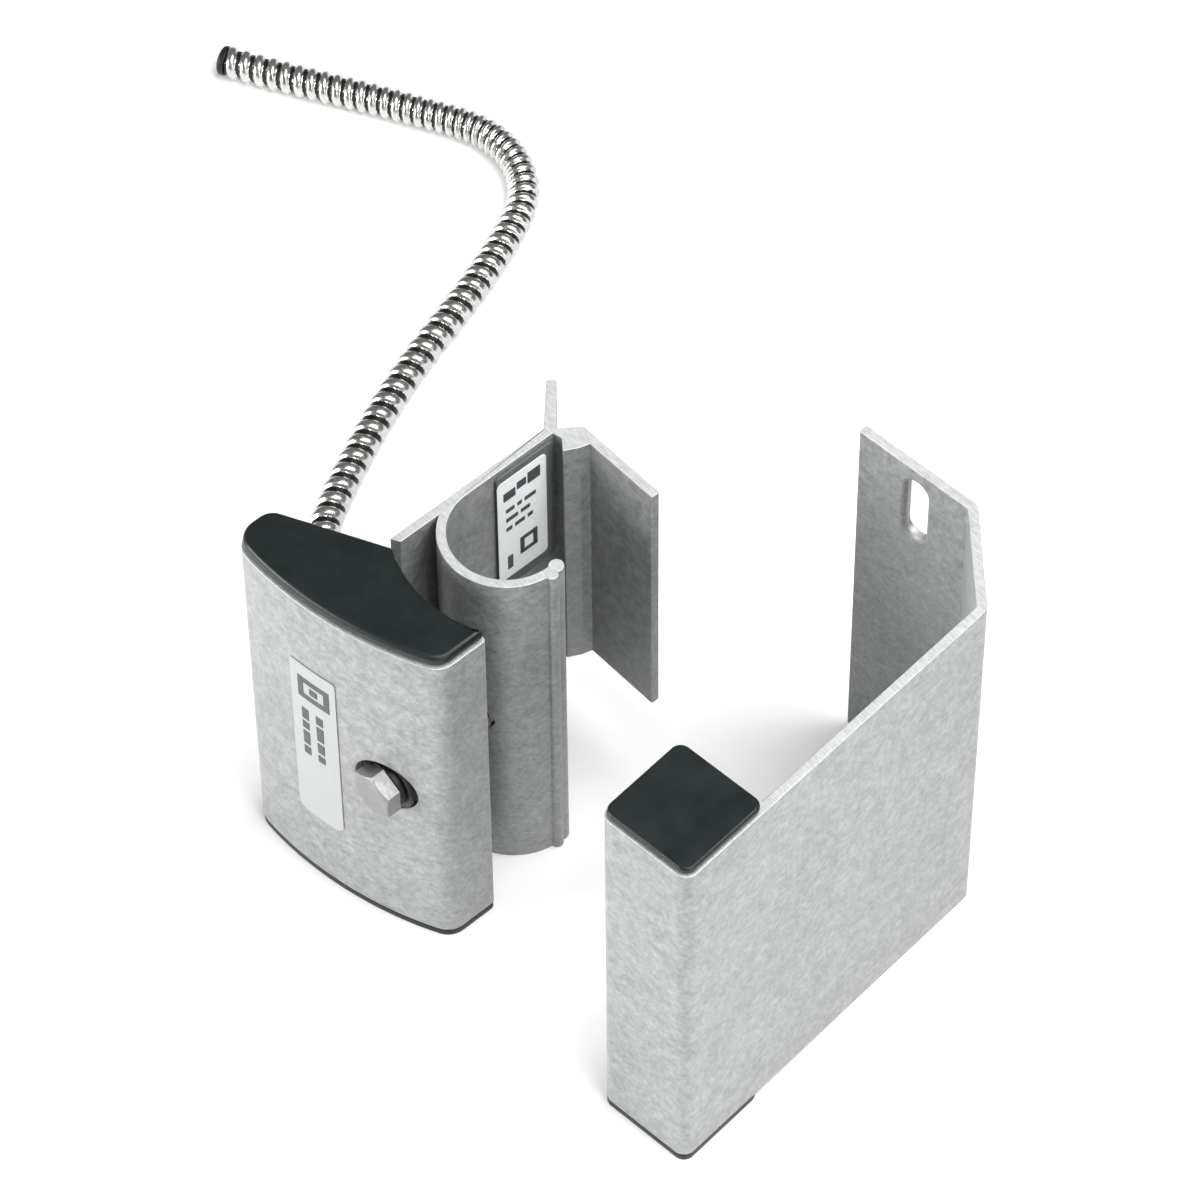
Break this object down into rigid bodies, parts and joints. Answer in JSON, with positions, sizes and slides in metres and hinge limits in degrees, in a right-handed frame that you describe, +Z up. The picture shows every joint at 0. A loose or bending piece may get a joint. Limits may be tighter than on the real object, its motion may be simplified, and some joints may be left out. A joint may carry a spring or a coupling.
{
  "type": "door contact sensor",
  "caption": "Overhead door contact sensor: aluminium reed switch housing bolted to a track clamp, with an armoured cable, and an angled aluminium bracket that carries the magnet.",
  "frame": {"origin": "on the floor at the foot of the sensor housing, straight under the clamp bolt", "axes": "+Y along the clamp bolt from its head through the housing to the clamp, +X along the housing's hollow back towards the magnet, +Z up along the extrusions"},
  "size_m": [0.3195, 0.1798, 0.1159],
  "materials": {
    "aluminium": "tumbled matte extrusion with bright cut ends",
    "bolt_steel": "zinc plated",
    "cable_steel": "galvanised interlocked strip",
    "gland_metal": "nickel plated",
    "black_plastic": "moulded, semi-gloss",
    "label_film": "printed white film",
    "pad": "dull adhesive pad",
    "potting": "cast resin",
    "board": "green solder resist",
    "reed_glass": "clear green glass",
    "reed_alloy": "nickel iron",
    "terminals": "tinned copper",
    "wire_red": "insulation",
    "wire_black": "insulation",
    "magnet": "ground ferrite",
    "cradle": "moulded, natural",
    "foam": "foam rubber"
  },
  "bodies": {
    "sensor": {"sensor_housing": "aluminium", "housing_top_cap": "black_plastic", "housing_bottom_cap": "black_plastic", "spacer_block": "aluminium", "potting_block": "potting", "circuit_board": "board", "reed_glass": "reed_glass", "reed_blade_upper": "reed_alloy", "reed_blade_lower": "reed_alloy", "terminal_strip": "terminals", "lead_wire_red": "wire_red", "lead_wire_black": "wire_black", "cable_gland": "gland_metal", "gland_locknut": "gland_metal", "armoured_cable": "cable_steel", "cable_end_bushing": "black_plastic", "sensor_label": "label_film"},
    "clamp": {"track_clamp": "aluminium", "nut_seat": "aluminium", "clamp_nut": "bolt_steel", "clamp_pad": "pad", "clamp_label": "label_film"},
    "bolt": {"clamp_bolt": "bolt_steel", "flat_washer": "bolt_steel", "lock_washer": "bolt_steel"},
    "magnet_unit": {"magnet_bracket": "aluminium", "magnet_top_cap": "black_plastic", "magnet_bottom_cap": "black_plastic", "magnet_cradle": "cradle", "magnet_bar_lower": "magnet", "magnet_bar_upper": "magnet", "magnet_spacer": "foam"}
  },
  "joints": [
    {"name": "bolt_turn", "type": "hinge", "parent": "sensor", "child": "bolt", "pos_m": [0, 0, 0.053], "axis": [0, 1, 0], "range_deg": [-1441, 1081]},
    {"name": "clamp_slide", "type": "slide", "parent": "sensor", "child": "clamp", "axis": [0, -1, 0], "range_m": [-0.00508, 0.00381]},
    {"name": "magnet_lift", "type": "slide", "parent": "sensor", "child": "magnet_unit", "axis": [0, 0, 1], "range_m": [0, 0.12]}
  ],
  "couplings": [
    {"joint": "bolt_turn", "follows": "clamp_slide", "rad_per_m": 4947.4}
  ]
}
